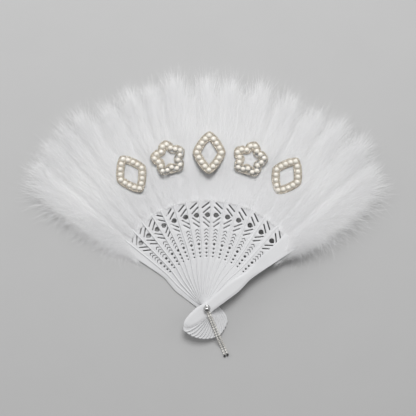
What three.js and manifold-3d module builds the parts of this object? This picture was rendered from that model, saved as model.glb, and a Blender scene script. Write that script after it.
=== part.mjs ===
// A folding feather fan, open and lying on its back, in millimetres.
// X runs across the fan, Y from the rivet towards the feather tips and Z up from the table.
// The origin is on the rivet's axis, at the flat underside of its back head.
import * as THREE from 'three';
import { mergeVertices } from 'three/addons/utils/BufferGeometryUtils.js';
import Module from 'manifold-3d';

const wasm = await Module();
wasm.setup();

// Stack of sticks, from the back guard (left) to the front guard (right)
const STICK_ANGLES_DEG = [
  -51.4, -47.3, -40.6, -33.8, -27.3, -21.8, -14.3, -7.4,
  -0.5, 6.5, 13.7, 20.8, 28.4, 36.4, 44.8, 51.4,
];
const STICK_THICKNESS = 1.2;
const LAYER_GAP = 0.2;
const SEAT_GAP = 0.3;

// Stick outlines: half-widths, and where along the stick they lie, from the rivet
const STICK_REACH = 149.6;
const LAND_LENGTH = 16;
const LAND_THICKNESS = 0.7;
const BULGE_AT = 42;
const WAIST_AT = 66;
const NECK_AT = 3;
const RIB = { neck: 6.0, bulge: 7.2, waist: 5.7, shoulder: 10.1, lobe: 8.6, lobeReach: 40 };
const FRONT_GUARD = { neck: 7, bulge: 8.2, waist: 5.5, shoulder: 11.9, lobe: 8.7, lobeReach: 35.5 };
const BACK_GUARD = { neck: 9.5, bulge: 10.3, waist: 6.2, shoulder: 12, lobe: 8.7, lobeReach: 31 };
// The inner edge of the back guard is set back, so that the holes of the first rib stay open
const BACK_GUARD_INNER = { ...BACK_GUARD, neck: 6.3, bulge: 5.5, waist: 3, shoulder: 3.4 };
// The lobes of the ribs before this one are each a little shorter than the next
const FIRST_FULL_LOBE = 5;
const LOBE_FALL = 1.6;

// Pierced pattern of a rib, measured down from the start of its land
const SLOT_WIDTH = 1.5;
const EYE_RADIUS = 3.1;
const EYE_CORNER = 3.9;
const EYE = { right: 1.8, down: 18.3 };
const CHEVRON_WIDTH = 5;
const CHEVRON_RISE = 2.1;
const CHEVRON_STROKE = 1.1;
const CHEVRON_COUNT = 4;
const CHEVRON_DOWN = 35.4;
const CHEVRON_PITCH = 4.17;
// The middle of each slot, how far it runs across, and how far it drops on the way
const SLOTS = [
  { right: -0.7, down: 6.25, run: 8.4, drop: -6.3 },
  { right: 0.55, down: 12.1, run: 8.3, drop: -7 },
  { right: 0.15, down: 24.5, run: 7.5, drop: 6.8 },
  { right: -0.05, down: 30.15, run: 6.3, drop: 5.5 },
];
const DOTS = [
  { down: 54.5, radius: 1.6 },
  { down: 60.3, radius: 1.25 },
  { down: 65.4, radius: 1.2 },
  { down: 69.9, radius: 0.95 },
];
// The ribs past this one are turned over, and so is one that was assembled back to front
const LAST_RIB_FACE_UP = 8;
const REVERSED_RIB = 4;

// Rivet
const PIN_RADIUS = 1.5;
const PIN_CLEARANCE = 0.25;
const BACK_HEAD_RADIUS = 4.2;
const BACK_HEAD_THICKNESS = 1.2;
const WASHER_RADIUS = 4.2;
const WASHER_THICKNESS = 0.6;
const BALL_RADIUS = 3.8;
const BALL_SEAT_RADIUS = 2.4;
const BALL_SOCKET_DEPTH = 3;

// Link ribbon glued between neighbouring sticks
const RIBBON_WIDTH = 10;
const RIBBON_THICKNESS = 0.3;
const RIBBON_INSET = 1.5;
const RIBBON_LENGTH = 13.5;

// Plumes
const QUILL_WIDTH = 2.4;
const QUILL_THICKNESS = 0.4;
const PLUME_LENGTH_MIDDLE = 150.4;
const PLUME_LENGTH_SIDE = 135.4;
const PLUME_FLARE_DEG = 10.6;
const PLUME_ROOT = 2;
const PILE_HEIGHT = 13.7;

// Pearl patches in a row over the plumes
const PATCH_MIDDLE_DEG = 0.8;
const PATCH_PITCH_DEG = 15.2;
const PATCH_START = 15.4;
const PATCH_BACKING = 0.9;
const PATCH_BAND = 10.5;
const PEARL_DIAMETER = 6;
const PEARL_PITCH = 6.35;
const DIAMOND_HALF_WIDTH = 15;
const DIAMOND_HALF_HEIGHT = 21;
const DIAMOND_POWER = 1.25;
const FLOWER_RADIUS = 14.6;
const FLOWER_SWELL = 0.2;
const PETALS = 5;
// Height order of the patches, so that they lie over one another when the fan is shut
const PATCHES = [
  { name: 'pearl_diamond_left', motif: diamond, order: 0 },
  { name: 'pearl_flower_left', motif: flower, order: 2 },
  { name: 'pearl_diamond_middle', motif: diamond, order: 4 },
  { name: 'pearl_flower_right', motif: flower, order: 3 },
  { name: 'pearl_diamond_right', motif: diamond, order: 1 },
];

// Tassel of two rhinestone strands on a ring
const TASSEL_DEG = 21;
const RING_WIRE_RADIUS = 0.6;
const RING_RADIUS = 3.2;
const STONE_WIDTH = 2.2;
const STONE_LENGTH = 1.3;
const STONE_PITCH = 2.8;
const LINK_WIDTH = 0.9;
const STRAND_SPACING_TOP = 2.7;
const STRAND_SPACING_END = 4;
// How the strands lie: share of the way along the lobes, and the layer of sticks they rest on
const LIE_ON_LOBES = [
  [0.26, 15],
  [0.38, 12.8],
  [0.5, 11.2],
  [0.63, 9.4],
  [0.75, 8.7],
  [0.9, 7.6],
  [1.03, 6.6],
];
// Past the lobes: distance beyond them, and height of the strand's middle above the table
const LIE_ON_TABLE = [
  { past: 6, level: 9 },
  { past: 12, level: 4.6 },
  { past: 18, level: 2 },
  { past: 31, level: 1.6 },
];

// Facets
const BLADE_STEPS = 10;
const ROUND_SIDES = 12;
const EYE_SIDES = 10;
const HOLE_SIDES = 8;
const DOT_SIDES = 6;
const PEARL_SIDES = 5;
const STONE_SIDES = 4;
const RIBBON_STEPS = 2;
const MOTIF_STEPS = 20;

const LAYER_PITCH = STICK_THICKNESS + LAYER_GAP;
const STICK_COUNT = STICK_ANGLES_DEG.length;
const LAND_AT = STICK_REACH - LAND_LENGTH;
const HOLE_RADIUS = PIN_RADIUS + PIN_CLEARANCE;
const STACK_BOTTOM = BACK_HEAD_THICKNESS + LAYER_GAP;
const WASHER_BOTTOM = STACK_BOTTOM + STICK_COUNT * LAYER_PITCH;
const RING_LEVEL = WASHER_BOTTOM + WASHER_THICKNESS + SEAT_GAP + RING_WIRE_RADIUS;
const BALL_BOTTOM = RING_LEVEL + RING_WIRE_RADIUS + SEAT_GAP;
const BALL_CENTRE = BALL_BOTTOM + Math.sqrt(BALL_RADIUS ** 2 - BALL_SEAT_RADIUS ** 2);
const PATCH_THICKNESS = PATCH_BACKING + PEARL_DIAMETER / 2;
const PATCH_LEVEL_PITCH = PATCH_THICKNESS + SEAT_GAP;
const PATCH_HALF_WIDTH = Math.max(DIAMOND_HALF_WIDTH, FLOWER_RADIUS * (1 + FLOWER_SWELL)) + PATCH_BAND / 2;
const PATCH_RADIUS = STICK_REACH + PATCH_START + DIAMOND_HALF_HEIGHT + PATCH_BAND / 2;

const fan = new THREE.Group();

const white = new THREE.MeshStandardMaterial({ color: 0xececec, roughness: 0.4, metalness: 0 });
const down = new THREE.MeshStandardMaterial({ color: 0xf5f5f6, roughness: 0.95, metalness: 0 });
const satin = new THREE.MeshStandardMaterial({ color: 0xf2f2f0, roughness: 0.6, metalness: 0 });
const chrome = new THREE.MeshStandardMaterial({ color: 0xb8b9bc, roughness: 0.15, metalness: 1 });
const pearl = new THREE.MeshStandardMaterial({ color: 0xf3ead9, roughness: 0.25, metalness: 0 });
const rhinestone = new THREE.MeshStandardMaterial({ color: 0xd6d8dc, roughness: 0.1, metalness: 0.6 });

function addPiece(name, geometry, material, turn = 0, level = 0) {
  const piece = new THREE.Mesh(geometry, material);
  piece.name = name;
  piece.rotation.z = turn;
  piece.position.z = level;
  fan.add(piece);
}

function toSolid(geometry) {
  const bare = geometry.clone();
  bare.deleteAttribute('normal');
  bare.deleteAttribute('uv');
  const merged = mergeVertices(bare, 1e-4);
  const vertProperties = Float32Array.from(merged.attributes.position.array);
  const triVerts = Uint32Array.from(merged.index.array);
  return new wasm.Manifold(new wasm.Mesh({ numProp: 3, vertProperties, triVerts }));
}

function toGeometry(solid) {
  const mesh = solid.getMesh();
  const geometry = new THREE.BufferGeometry();
  geometry.setAttribute('position', new THREE.BufferAttribute(Float32Array.from(mesh.vertProperties), 3));
  geometry.setIndex(new THREE.BufferAttribute(Uint32Array.from(mesh.triVerts), 1));
  geometry.computeVertexNormals();
  return geometry;
}

function plate(shape, thickness) {
  return new THREE.ExtrudeGeometry(shape, { depth: thickness, bevelEnabled: false });
}

function revolve(profile, sides) {
  const points = profile.map(([radius, height]) => new THREE.Vector2(radius, height));
  return new THREE.LatheGeometry(points, sides).rotateX(Math.PI / 2);
}

function ring(x, y, radius, sides) {
  const corner = (_, k) => {
    const angle = (2 * Math.PI * (k + 0.5)) / sides;
    return new THREE.Vector2(x + radius * Math.cos(angle), y + radius * Math.sin(angle));
  };
  return Array.from({ length: sides }, corner);
}

// Skins rings of points, each clockwise as seen along the way from the first to the last, and caps the ends
function loft(rings) {
  const sides = rings[0].length;
  const positions = rings.flat().flatMap((p) => [p.x, p.y, p.z]);
  const faces = [];
  for (let k = 0; k + 1 < rings.length; k++) {
    for (let j = 0; j < sides; j++) {
      const next = (j + 1) % sides;
      const [a, b] = [k * sides + j, k * sides + next];
      faces.push(a, b, b + sides, a, b + sides, a + sides);
    }
  }
  const last = (rings.length - 1) * sides;
  for (let j = 1; j + 1 < sides; j++) {
    faces.push(0, j + 1, j);
    faces.push(last, last + j, last + j + 1);
  }
  const geometry = new THREE.BufferGeometry();
  geometry.setAttribute('position', new THREE.Float32BufferAttribute(positions, 3));
  geometry.setIndex(faces);
  geometry.computeVertexNormals();
  return geometry;
}

// Angle of a stick's middle line from +Y, positive to the right
const stickAngle = (index) => THREE.MathUtils.degToRad(STICK_ANGLES_DEG[index]);
const stickLevel = (index) => STACK_BOTTOM + index * LAYER_PITCH;

// A soft step from one value to the next, as the share goes from 0 to 1
const ease = (from, to, share) => from + ((to - from) * (1 - Math.cos(Math.PI * share))) / 2;

// One edge of a stick along +Y: its lobe below the rivet, the waved blade, and the rounded land
function stickEdge({ neck, bulge, waist, shoulder, lobe, lobeReach }) {
  const lobeEdge = [
    [0, -lobeReach],
    [0.35 * lobe, -0.97 * lobeReach],
    [0.65 * lobe, -0.85 * lobeReach],
    [0.88 * lobe, -0.64 * lobeReach],
    [0.98 * lobe, -0.42 * lobeReach],
    [lobe, -0.24 * lobeReach],
  ];
  const bladeEdge = Array.from({ length: BLADE_STEPS + 1 }, (_, k) => {
    const y = NECK_AT + ((LAND_AT - NECK_AT) * k) / BLADE_STEPS;
    if (y < BULGE_AT) return [ease(neck, bulge, (y - NECK_AT) / (BULGE_AT - NECK_AT)), y];
    if (y < WAIST_AT) return [ease(bulge, waist, (y - BULGE_AT) / (WAIST_AT - BULGE_AT)), y];
    return [waist + (shoulder - waist) * ((y - WAIST_AT) / (LAND_AT - WAIST_AT)) ** 1.2, y];
  });
  const landEdge = [
    [0.85 * shoulder, LAND_AT + 0.5 * LAND_LENGTH],
    [0.5 * shoulder, LAND_AT + 0.88 * LAND_LENGTH],
    [0, STICK_REACH],
  ];
  return [...lobeEdge, ...bladeEdge, ...landEdge];
}

function stickOutline(rightSizes, leftSizes) {
  const right = stickEdge(rightSizes).map(([x, y]) => new THREE.Vector2(x, y));
  const left = stickEdge(leftSizes).map(([x, y]) => new THREE.Vector2(-x, y));
  return new THREE.Shape([...right, ...left.slice(1, -1).reverse()]);
}

function slotHole({ right, down, run, drop }, hand) {
  const start = new THREE.Vector2(hand * (right - run / 2), LAND_AT - down + drop / 2);
  const end = new THREE.Vector2(hand * (right + run / 2), LAND_AT - down - drop / 2);
  const along = end.clone().sub(start).normalize().multiplyScalar(SLOT_WIDTH / 2);
  const across = new THREE.Vector2(-along.y, along.x);
  return [
    start.clone().add(across),
    start.clone().sub(along),
    start.clone().sub(across),
    end.clone().sub(across),
    end.clone().add(along),
    end.clone().add(across),
  ];
}

function chevronHole(index) {
  const top = LAND_AT - CHEVRON_DOWN - index * CHEVRON_PITCH;
  const half = CHEVRON_WIDTH / 2;
  return [
    new THREE.Vector2(0, top),
    new THREE.Vector2(half, top - CHEVRON_RISE),
    new THREE.Vector2(half, top - CHEVRON_RISE - CHEVRON_STROKE),
    new THREE.Vector2(0, top - CHEVRON_STROKE),
    new THREE.Vector2(-half, top - CHEVRON_RISE - CHEVRON_STROKE),
    new THREE.Vector2(-half, top - CHEVRON_RISE),
  ];
}

// A round hole with one blunt corner, which points towards the middle line
function eyeHole(hand) {
  const middle = LAND_AT - EYE.down;
  const points = ring(EYE.right, middle, EYE_RADIUS, EYE_SIDES);
  points.splice(EYE_SIDES / 2 - 1, 2, new THREE.Vector2(EYE.right - EYE_CORNER, middle));
  return points.map((p) => new THREE.Vector2(hand * p.x, p.y));
}

// hand is 1 with the eye to the right of the middle line, -1 on a rib that is turned over
function ribHoles(hand) {
  return [
    ...SLOTS.map((slot) => slotHole(slot, hand)),
    eyeHole(hand),
    ...Array.from({ length: CHEVRON_COUNT }, (_, k) => chevronHole(k)),
    ...DOTS.map((dot) => ring(0, LAND_AT - dot.down, dot.radius, DOT_SIDES)),
  ];
}

// A flat stick with its rivet hole, and a thinner land at its outer end for the quill
function stickGeometry(holes, rightSizes, leftSizes = rightSizes) {
  const shape = stickOutline(rightSizes, leftSizes);
  shape.holes = [ring(0, 0, HOLE_RADIUS, HOLE_SIDES), ...holes].map((points) => new THREE.Path(points));
  const landCut = new THREE.BoxGeometry(3 * leftSizes.shoulder, LAND_LENGTH + 1, STICK_THICKNESS);
  landCut.translate(0, LAND_AT + (LAND_LENGTH + 1) / 2, LAND_THICKNESS + STICK_THICKNESS / 2);
  return toGeometry(toSolid(plate(shape, STICK_THICKNESS)).subtract(toSolid(landCut)));
}

function addSticks() {
  const turn = (index) => -stickAngle(index);
  const last = STICK_COUNT - 1;
  addPiece('back_guard', stickGeometry([], BACK_GUARD_INNER, BACK_GUARD), white, turn(0), stickLevel(0));
  for (let index = 1; index < last; index++) {
    const turnedOver = index > LAST_RIB_FACE_UP !== (index === REVERSED_RIB);
    const lobeReach = RIB.lobeReach - LOBE_FALL * Math.max(FIRST_FULL_LOBE - index, 0);
    const geometry = stickGeometry(ribHoles(turnedOver ? -1 : 1), { ...RIB, lobeReach });
    addPiece(`rib_${String(index).padStart(2, '0')}`, geometry, white, turn(index), stickLevel(index));
  }
  addPiece('front_guard', stickGeometry([], FRONT_GUARD), white, turn(last), stickLevel(last));
}

function addRivet() {
  const pinTop = BALL_BOTTOM + BALL_SOCKET_DEPTH - SEAT_GAP;
  const pin = [
    [0, 0],
    [BACK_HEAD_RADIUS, 0],
    [BACK_HEAD_RADIUS, BACK_HEAD_THICKNESS / 2],
    [0.8 * BACK_HEAD_RADIUS, BACK_HEAD_THICKNESS],
    [PIN_RADIUS, BACK_HEAD_THICKNESS],
    [PIN_RADIUS, pinTop],
    [0, pinTop],
  ];
  addPiece('rivet_pin', revolve(pin, ROUND_SIDES), chrome);

  const washer = [
    [HOLE_RADIUS, 0],
    [WASHER_RADIUS, 0],
    [WASHER_RADIUS, WASHER_THICKNESS],
    [HOLE_RADIUS, WASHER_THICKNESS],
    [HOLE_RADIUS, 0],
  ];
  addPiece('rivet_washer', revolve(washer, ROUND_SIDES), chrome, 0, WASHER_BOTTOM);

  const seatAngle = Math.asin(BALL_SEAT_RADIUS / BALL_RADIUS);
  const arcSteps = ROUND_SIDES / 2;
  const arc = Array.from({ length: arcSteps + 1 }, (_, k) => {
    const angle = seatAngle + ((Math.PI - seatAngle) * k) / arcSteps;
    const radius = k === arcSteps ? 0 : BALL_RADIUS * Math.sin(angle);
    return [radius, BALL_CENTRE - BALL_RADIUS * Math.cos(angle)];
  });
  const socketTop = BALL_BOTTOM + BALL_SOCKET_DEPTH;
  const ball = [[0, socketTop], [HOLE_RADIUS, socketTop], [HOLE_RADIUS, BALL_BOTTOM], ...arc];
  addPiece('rivet_ball', revolve(ball, ROUND_SIDES), chrome);
}

// One piece of ribbon on each stick's land, reaching under the next stick
function addLinkRibbons() {
  const inner = LAND_AT + RIBBON_INSET;
  const start = (QUILL_WIDTH / 2 + SEAT_GAP) / inner;
  const end = start + RIBBON_LENGTH / (inner + RIBBON_WIDTH / 2);
  const arc = (radius) =>
    Array.from({ length: RIBBON_STEPS + 1 }, (_, k) => {
      const angle = start + ((end - start) * k) / RIBBON_STEPS;
      return new THREE.Vector2(radius * Math.sin(angle), radius * Math.cos(angle));
    });
  const shape = new THREE.Shape([...arc(inner), ...arc(inner + RIBBON_WIDTH).reverse()]);
  for (let index = 0; index + 1 < STICK_COUNT; index++) {
    const level = stickLevel(index) + LAND_THICKNESS + LAYER_GAP / 2;
    const name = `link_ribbon_${String(index + 1).padStart(2, '0')}`;
    addPiece(name, plate(shape, RIBBON_THICKNESS), satin, -stickAngle(index), level);
  }
}

const patchAngle = (index) =>
  THREE.MathUtils.degToRad(PATCH_MIDDLE_DEG + (index - (PATCHES.length - 1) / 2) * PATCH_PITCH_DEG);
const patchLevel = (index) => PILE_HEIGHT + SEAT_GAP + PATCHES[index].order * PATCH_LEVEL_PITCH;

// Half the angle between a stick and the next one on one side, or an end plume's flare. side is -1 on the left
function halfGap(index, side) {
  const next = index + side;
  if (next < 0 || next === STICK_COUNT) return THREE.MathUtils.degToRad(PLUME_FLARE_DEG);
  return Math.abs(stickAngle(next) - stickAngle(index)) / 2;
}

// The height of a plume's fluff: up to the lowest patch that lies over it
function pileHeight(index) {
  const reach = PATCH_HALF_WIDTH / (PATCH_RADIUS - DIAMOND_HALF_HEIGHT / 2);
  const covers = (k) => {
    const aside = patchAngle(k) - stickAngle(index);
    return aside < reach + halfGap(index, 1) && -aside < reach + halfGap(index, -1);
  };
  const above = PATCHES.map((_, k) => k).filter(covers);
  return Math.min(...above.map((k) => patchLevel(k) - SEAT_GAP), above.length ? Infinity : PILE_HEIGHT);
}

// Shares of a plume's full width, of an end plume's outer flare and of the pile's height,
// at shares of the way from the plume's root to its tip
const PLUME_STATIONS = [
  { way: 0, width: 1, flare: 0.9, height: 0.9 },
  { way: 0.12, width: 1, flare: 1, height: 1 },
  { way: 0.5, width: 1, flare: 1, height: 1 },
  { way: 0.72, width: 1, flare: 0.88, height: 0.8 },
  { way: 0.87, width: 0.92, flare: 0.68, height: 0.55 },
  { way: 0.96, width: 0.68, flare: 0.43, height: 0.34 },
  { way: 1, width: 0.3, flare: 0.18, height: 0.16 },
];

// A quill tongue on the stick's land that opens into a wedge of fluff, flat underneath
function plumeGeometry(index) {
  const last = STICK_COUNT - 1;
  const leftSlope = Math.tan(halfGap(index, -1));
  const rightSlope = Math.tan(halfGap(index, 1));
  const aside = Math.abs(stickAngle(index) / stickAngle(last));
  const length = PLUME_LENGTH_MIDDLE - (PLUME_LENGTH_MIDDLE - PLUME_LENGTH_SIDE) * aside ** 2;
  const pile = pileHeight(index);

  const quillBottom = stickLevel(index) + LAND_THICKNESS + LAYER_GAP / 2;
  const quillRing = (y) => {
    const half = QUILL_WIDTH / 2;
    const [low, high] = [quillBottom, quillBottom + QUILL_THICKNESS];
    const middle = (low + high) / 2;
    const corners = [[-1, low], [-1, middle], [-1, high], [0, high], [1, high], [1, middle], [1, low]];
    return corners.map(([side, z]) => new THREE.Vector3(side * half, y, z));
  };
  const fluffRing = ({ way, width, flare, height }) => {
    const y = STICK_REACH + SEAT_GAP + PLUME_ROOT + way * (length - SEAT_GAP - PLUME_ROOT);
    const left = (index === 0 ? flare : width) * (y * leftSlope - SEAT_GAP / 2);
    const right = (index === last ? flare : width) * (y * rightSlope - SEAT_GAP / 2);
    const top = height * pile;
    return [
      new THREE.Vector3(-0.92 * left, y, 0),
      new THREE.Vector3(-left, y, 0.4 * top),
      new THREE.Vector3(-0.8 * left, y, 0.9 * top),
      new THREE.Vector3(0, y, top),
      new THREE.Vector3(0.8 * right, y, 0.9 * top),
      new THREE.Vector3(right, y, 0.4 * top),
      new THREE.Vector3(0.92 * right, y, 0),
    ];
  };
  const quill = [quillRing(LAND_AT + SEAT_GAP), quillRing(STICK_REACH + SEAT_GAP)];
  return loft([...quill, ...PLUME_STATIONS.map(fluffRing)]);
}

function addPlumes() {
  for (let index = 0; index < STICK_COUNT; index++) {
    const name = `plume_${String(index + 1).padStart(2, '0')}`;
    addPiece(name, plumeGeometry(index), down, -stickAngle(index));
  }
}

// Middle lines of the patches' bands, as closed curves of points for a share of the way round
function diamond(way) {
  const angle = 2 * Math.PI * way;
  const bend = (value) => Math.sign(value) * Math.abs(value) ** (2 / DIAMOND_POWER);
  return new THREE.Vector2(
    DIAMOND_HALF_WIDTH * bend(Math.cos(angle)),
    DIAMOND_HALF_HEIGHT * bend(Math.sin(angle)),
  );
}

function flower(way) {
  const angle = 2 * Math.PI * way;
  const radius = FLOWER_RADIUS * (1 + FLOWER_SWELL * Math.sin(PETALS * angle));
  return new THREE.Vector2(radius * Math.cos(angle), radius * Math.sin(angle));
}

// Points at equal distances round a closed curve
function evenPoints(motif, count) {
  const fine = 400;
  const points = Array.from({ length: fine + 1 }, (_, k) => motif(k / fine));
  const travelled = [0];
  for (let k = 1; k <= fine; k++) {
    travelled.push(travelled[k - 1] + points[k].distanceTo(points[k - 1]));
  }
  const total = travelled[fine];
  const at = (distance) => {
    const k = travelled.findIndex((value) => value > distance);
    const share = (distance - travelled[k - 1]) / (travelled[k] - travelled[k - 1]);
    return points[k - 1].clone().lerp(points[k], share);
  };
  const number = count ?? Math.floor(total / PEARL_PITCH);
  return Array.from({ length: number }, (_, k) => at((total * k) / number));
}

// A closed line of points moved sideways, outwards where distance is positive
function offset(points, distance) {
  return points.map((point, k) => {
    const before = points[(k + points.length - 1) % points.length];
    const after = points[(k + 1) % points.length];
    const along = after.clone().sub(before).normalize();
    return new THREE.Vector2(point.x + distance * along.y, point.y - distance * along.x);
  });
}

// A felt band in the motif's shape with half-round pearls along its middle
function patchGeometry(motif) {
  const middle = evenPoints(motif, MOTIF_STEPS);
  const shape = new THREE.Shape(offset(middle, PATCH_BAND / 2));
  shape.holes = [new THREE.Path(offset(middle, -PATCH_BAND / 2))];
  let solid = toSolid(plate(shape, PATCH_BACKING));
  const radius = PEARL_DIAMETER / 2;
  const dome = [
    [0, -PATCH_BACKING / 2],
    [radius, -PATCH_BACKING / 2],
    [radius, 0],
    [0.72 * radius, 0.7 * radius],
    [0, radius],
  ];
  for (const point of evenPoints(motif)) {
    const bead = revolve(dome, PEARL_SIDES).translate(point.x, point.y, PATCH_BACKING);
    solid = solid.add(toSolid(bead));
  }
  return toGeometry(solid).translate(0, PATCH_RADIUS, 0);
}

function addPatches() {
  PATCHES.forEach(({ name, motif }, index) => {
    addPiece(name, patchGeometry(motif), pearl, -patchAngle(index), patchLevel(index));
  });
}

// The strands' line in the plane of the tassel: distance from the rivet's axis, and height
function tasselLine() {
  const start = [RING_RADIUS + RING_WIRE_RADIUS + SEAT_GAP, RING_LEVEL];
  const clear = STONE_WIDTH / 2 + SEAT_GAP;
  const onLobes = LIE_ON_LOBES.map(([share, layer]) => [
    share * RIB.lobeReach,
    stickLevel(layer) + STICK_THICKNESS + clear,
  ]);
  const onTable = LIE_ON_TABLE.map(({ past, level }) => [RIB.lobeReach + past, level]);
  const points = [start, ...onLobes, ...onTable];
  return new THREE.CatmullRomCurve3(points.map(([distance, level]) => new THREE.Vector3(0, distance, level)));
}

// A strand of stones in cups, joined by narrow links. side is -1 on the left and 1 on the right
function strandGeometry(side) {
  const line = tasselLine();
  const length = line.getLength();
  const count = Math.floor(length / STONE_PITCH);
  const rings = [];
  const addRing = (distance, width) => {
    const way = THREE.MathUtils.clamp(distance / length, 0, 1);
    const centre = line.getPointAt(way);
    const tangent = line.getTangentAt(way);
    const up = new THREE.Vector3(0, -tangent.z, tangent.y);
    const spacing = THREE.MathUtils.lerp(STRAND_SPACING_TOP, STRAND_SPACING_END, way);
    centre.x = (side * spacing) / 2;
    const corner = (_, k) => {
      const angle = (2 * Math.PI * (k + 0.5)) / STONE_SIDES;
      const across = new THREE.Vector3(-Math.cos(angle) * (width / 2), 0, 0);
      return centre.clone().add(across).addScaledVector(up, Math.sin(angle) * (width / 2));
    };
    rings.push(Array.from({ length: STONE_SIDES }, corner));
  };
  for (let k = 0; k < count; k++) {
    const middle = (k + 0.5) * STONE_PITCH;
    addRing(middle - STONE_PITCH / 2, LINK_WIDTH);
    addRing(middle - STONE_LENGTH / 2, STONE_WIDTH);
    addRing(middle + STONE_LENGTH / 2, STONE_WIDTH);
  }
  addRing(count * STONE_PITCH, LINK_WIDTH);
  return loft(rings);
}

function addTassel() {
  const wire = Array.from({ length: DOT_SIDES + 1 }, (_, k) => {
    const angle = (2 * Math.PI * (k % DOT_SIDES)) / DOT_SIDES;
    return [RING_RADIUS + RING_WIRE_RADIUS * Math.cos(angle), RING_LEVEL + RING_WIRE_RADIUS * Math.sin(angle)];
  });
  addPiece('tassel_ring', revolve(wire, ROUND_SIDES), chrome);
  const turn = Math.PI + THREE.MathUtils.degToRad(TASSEL_DEG);
  addPiece('tassel_strand_left', strandGeometry(1), rhinestone, turn);
  addPiece('tassel_strand_right', strandGeometry(-1), rhinestone, turn);
}

addSticks();
addRivet();
addLinkRibbons();
addPlumes();
addPatches();
addTassel();

export default fan;
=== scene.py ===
"""An open feather fan lying on its back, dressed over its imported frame.

Metres. X runs to the right, Y from the rivet towards the feather tips and Z up from the table.
"""
import math
from contextlib import contextmanager

import bpy
import numpy as np
from mathutils import Matrix, Vector


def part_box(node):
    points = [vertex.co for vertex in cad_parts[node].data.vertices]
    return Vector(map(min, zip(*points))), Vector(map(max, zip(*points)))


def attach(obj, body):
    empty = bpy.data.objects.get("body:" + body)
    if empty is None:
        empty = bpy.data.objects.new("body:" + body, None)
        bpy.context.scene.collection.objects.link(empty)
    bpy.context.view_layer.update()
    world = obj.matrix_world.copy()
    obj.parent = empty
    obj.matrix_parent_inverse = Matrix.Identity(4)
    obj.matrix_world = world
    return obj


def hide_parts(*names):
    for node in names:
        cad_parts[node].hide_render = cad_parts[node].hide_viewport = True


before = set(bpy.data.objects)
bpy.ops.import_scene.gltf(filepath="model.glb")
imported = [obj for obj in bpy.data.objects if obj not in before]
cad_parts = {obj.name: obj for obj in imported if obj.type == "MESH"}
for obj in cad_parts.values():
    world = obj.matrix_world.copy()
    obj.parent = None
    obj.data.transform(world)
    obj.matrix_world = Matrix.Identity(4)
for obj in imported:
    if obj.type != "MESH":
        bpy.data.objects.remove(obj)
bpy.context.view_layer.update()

MM = 0.001

# Stack of sticks, from the back guard on the left to the front guard on the right
STICKS = ["back_guard"] + [f"rib_{k:02d}" for k in range(1, 15)] + ["front_guard"]
STICK_TURNS = np.radians(
    [-51.4, -47.3, -40.6, -33.8, -27.3, -21.8, -14.3, -7.4, -0.5, 6.5, 13.7, 20.8, 28.4, 36.4, 44.8, 51.4]
)
LAND_THICKNESS = 0.7 * MM
STICK_THICKNESS = 1.2 * MM
STICK_EDGE = 0.4 * MM
PIN_HOLE = 1.75 * MM
LAST_RIB_FACE_UP = 8
REVERSED_RIB = 4

# Stick outlines, in millimetres from the rivet and as half-widths
STICK_REACH = 149.6
LAND_AT = 133.6
NECK_AT = 3
BULGE_AT = 42
WAIST_AT = 66
RIB = {"neck": 6.0, "bulge": 7.2, "waist": 5.7, "shoulder": 10.1, "lobe": 8.6, "lobe_reach": 40}
FRONT_GUARD = {"neck": 7, "bulge": 8.2, "waist": 5.5, "shoulder": 11.9, "lobe": 8.7, "lobe_reach": 35.5}
BACK_GUARD = {"neck": 9.5, "bulge": 10.3, "waist": 6.2, "shoulder": 12, "lobe": 8.7, "lobe_reach": 31}
BACK_GUARD_INNER = {**BACK_GUARD, "neck": 6.3, "bulge": 5.5, "waist": 3, "shoulder": 3.4}
FIRST_FULL_LOBE = 5
LOBE_FALL = 1.6

# Lobe and land of a stick, as shares of its half-width and of its reach
LOBE_SHAPE = [(0, -1), (0.35, -0.97), (0.65, -0.85), (0.88, -0.64), (0.98, -0.42), (1, -0.24)]
LOBE_NECK = 0.9
LAND_SHAPE = [(0.85, 0.5), (0.5, 0.88), (0, 1)]
LAND_STEP = 0.1 * MM
BLADE_POINTS = 14

# Thin web and raised rim of each rib
WEB_THICKNESS = 0.75 * MM
WEB_EDGE = 0.3 * MM
RIM_WIDTH = 2.0 * MM
RIM_SIDES = 10
PIN_HOLE_SIDES = 20

# Rounded edges of the guards' handle ends, in millimetres
CROWN_DROP = 0.9
CROWN_WIDTH = 3.6
CROWN_END = (68, 84)
CROWN_CUTS_ACROSS = (-7, -6, -5, -4, -3, 3, 4, 5, 6, 7)
CROWN_CUTS_ALONG = range(-36, CROWN_END[1], 4)

# Pierced pattern of a rib, in millimetres down from the start of its land
SLOT_WIDTH = 1.5
EYE = {"right": 1.8, "down": 18.3, "radius": 3.1, "corner": 3.9}
CHEVRON = {"width": 5, "rise": 2.1, "stroke": 1.1, "count": 4, "down": 35.4, "pitch": 4.17}
SLOTS = [
    {"right": -0.7, "down": 6.25, "run": 8.4, "drop": -6.3},
    {"right": 0.55, "down": 12.1, "run": 8.3, "drop": -7},
    {"right": 0.15, "down": 24.5, "run": 7.5, "drop": 6.8},
    {"right": -0.05, "down": 30.15, "run": 6.3, "drop": 5.5},
]
DOTS = [(54.5, 1.6), (60.3, 1.25), (65.4, 1.2), (69.9, 0.95)]
STITCH = {"spacing": 2.5, "down": -0.9, "radius": 0.55}

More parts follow.
